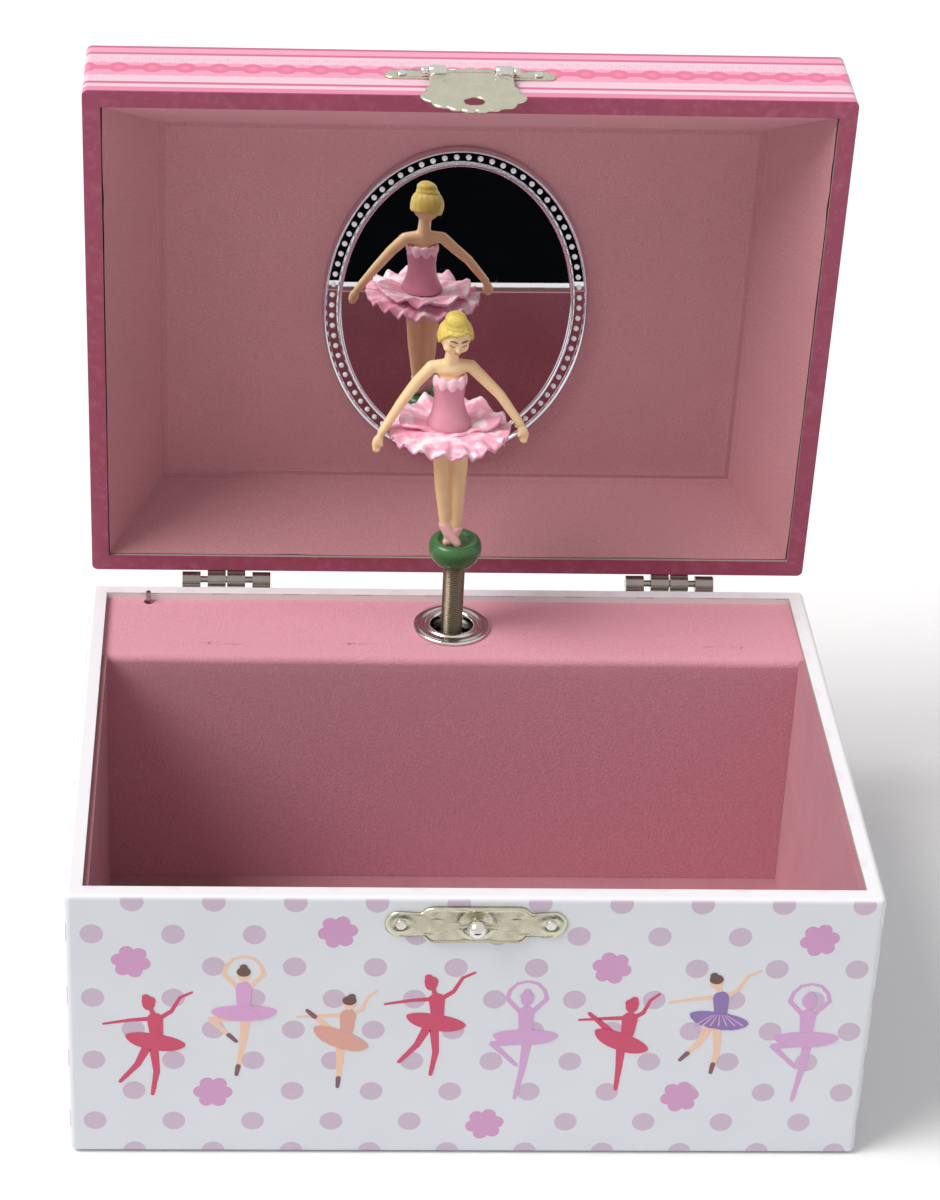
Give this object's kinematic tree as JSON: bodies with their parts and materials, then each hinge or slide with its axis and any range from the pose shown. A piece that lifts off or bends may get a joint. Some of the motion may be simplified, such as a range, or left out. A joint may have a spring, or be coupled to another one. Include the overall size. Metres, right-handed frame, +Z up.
{
  "type": "wind up music box",
  "caption": "Wind-up music box: a lined case with a hinged lid, a dancer on a spring post that turns before an oval mirror, and a key-wound pinned cylinder movement inside.",
  "frame": {"origin": "centre of the flat underside", "axes": "+X to the right seen from the front, +Y to the back where the lid hinges, +Z up"},
  "size_m": [0.15, 0.138, 0.1753],
  "materials": {
    "printed_paper": "white printed paper with mauve dots and small figures, satin",
    "pink_paper": "pink printed paper with a lace band, satin",
    "rim_paper": "magenta paper binding, satin",
    "back_paper": "plain off-white paper",
    "greyboard": "raw grey board",
    "rose_flannel": "flocked dusty rose lining on card",
    "nickel": "bright nickel plate",
    "warm_nickel": "warm nickel plate, slightly brushed",
    "spring_steel": "spring steel wire",
    "steel": "plain steel",
    "brass": "turned brass",
    "zinc": "plain zinc casting",
    "green_plastic": "glossy green moulded plastic",
    "figure_plastic": "painted moulded plastic",
    "fan_plastic": "white moulded plastic",
    "silver_plastic": "bright plated plastic",
    "mirror_glass": "silvered glass"
  },
  "bodies": {
    "case": {"case_wrap": "printed_paper", "underside_sheet": "back_paper", "bottom_board": "greyboard", "front_board": "greyboard", "back_board": "greyboard", "left_board": "greyboard", "right_board": "greyboard", "floor_liner": "rose_flannel", "front_liner": "rose_flannel", "left_liner": "rose_flannel", "right_liner": "rose_flannel", "movement_cover": "rose_flannel", "eyelet": "nickel", "catch_plate": "warm_nickel", "catch_knob": "warm_nickel", "case_nails": "nickel", "case_hinge_leaves": "nickel", "hinge_pins": "steel", "bedplate": "zinc", "movement_screws": "steel", "bridge_screws": "steel", "lower_bearing_bracket": "steel", "upper_bearing_bracket": "steel", "spindle_bridge": "steel", "barrel_bridge": "steel", "comb": "spring_steel", "comb_screws": "steel", "governor_frame": "steel", "click_pawl": "spring_steel", "stop_clip": "fan_plastic"},
    "key": {"winding_key": "nickel", "winding_arbor": "steel", "ratchet_wheel": "steel"},
    "barrel": {"barrel_drum": "steel", "mainspring": "spring_steel"},
    "cylinder": {"music_cylinder": "brass", "cylinder_arbor": "steel", "cylinder_wheel": "brass"},
    "governor": {"governor_wheel": "brass"},
    "fan": {"worm_shaft": "steel", "fan_blades": "fan_plastic"},
    "spindle": {"dancer_spindle": "steel"},
    "stop_lever": {"stop_wire": "spring_steel"},
    "dancer_post": {"post_spring": "spring_steel"},
    "dancer": {"dancer_stand": "green_plastic", "dancer_figure": "figure_plastic"},
    "lid": {"lid_top_board": "greyboard", "lid_front_rail": "greyboard", "lid_back_rail": "greyboard", "lid_left_rail": "greyboard", "lid_right_rail": "greyboard", "lid_wrap": "pink_paper", "lid_rim_binding": "rim_paper", "lid_liner": "rose_flannel", "mirror_frame": "silver_plastic", "mirror_plate": "mirror_glass", "hasp_strap": "warm_nickel", "lid_nails": "nickel", "lid_hinge_leaves": "nickel"},
    "hasp": {"hasp_flap": "warm_nickel"}
  },
  "joints": [
    {"name": "lid_hinge", "type": "hinge", "parent": "case", "child": "lid", "pos_m": [0, 0.057, 0.0603], "axis": [1, 0, 0], "range_deg": [0, 87]},
    {"name": "hasp_hinge", "type": "hinge", "parent": "lid", "child": "hasp", "pos_m": [0, 0.05925, 0.17402], "axis": [-1, 0, 0], "range_deg": [0, 150]},
    {"name": "key_turn", "type": "hinge", "parent": "case", "child": "key", "pos_m": [-0.0108, 0.057, 0.02], "axis": [0, 1, 0], "continuous": true},
    {"name": "cylinder_spin", "type": "hinge", "parent": "case", "child": "cylinder", "pos_m": [-0.0108, 0.0417, 0.044], "axis": [0, 0, 1], "continuous": true},
    {"name": "barrel_spin", "type": "hinge", "parent": "case", "child": "barrel", "pos_m": [-0.0108, 0.0417, 0.02], "axis": [0, 1, 0], "continuous": true},
    {"name": "governor_spin", "type": "hinge", "parent": "case", "child": "governor", "pos_m": [-0.0228, 0.0417, 0.0524], "axis": [0, 0, 1], "continuous": true},
    {"name": "fan_spin", "type": "hinge", "parent": "case", "child": "fan", "pos_m": [-0.0281, 0.0417, 0.0484], "axis": [0, 1, 0], "continuous": true},
    {"name": "spindle_spin", "type": "hinge", "parent": "case", "child": "spindle", "pos_m": [0, 0.0417, 0.0524], "axis": [0, 0, 1], "continuous": true},
    {"name": "dancer_spin", "type": "hinge", "parent": "dancer_post", "child": "dancer", "pos_m": [0, 0.0417, 0.0727], "axis": [0, 0, 1], "continuous": true},
    {"name": "post_bend", "type": "hinge", "parent": "case", "child": "dancer_post", "pos_m": [0, 0.0417, 0.0655], "axis": [1, 0, 0], "range_deg": [0, 95], "deforming": ["post_spring"]},
    {"name": "stop_press", "type": "hinge", "parent": "case", "child": "stop_lever", "pos_m": [-0.045, 0.042, 0.05], "axis": [0, 1, 0], "range_deg": [-2, 0]}
  ],
  "couplings": [
    {"joint": "barrel_spin", "follows": "cylinder_spin", "ratio": -0.23077},
    {"joint": "governor_spin", "follows": "cylinder_spin", "ratio": -1.5},
    {"joint": "fan_spin", "follows": "cylinder_spin", "ratio": -30},
    {"joint": "spindle_spin", "follows": "cylinder_spin", "ratio": -2},
    {"joint": "dancer_spin", "follows": "cylinder_spin", "ratio": -2},
    {"joint": "post_bend", "follows": "lid_hinge", "ratio": 1.092},
    {"joint": "stop_press", "follows": "lid_hinge", "ratio": -0.022988}
  ]
}
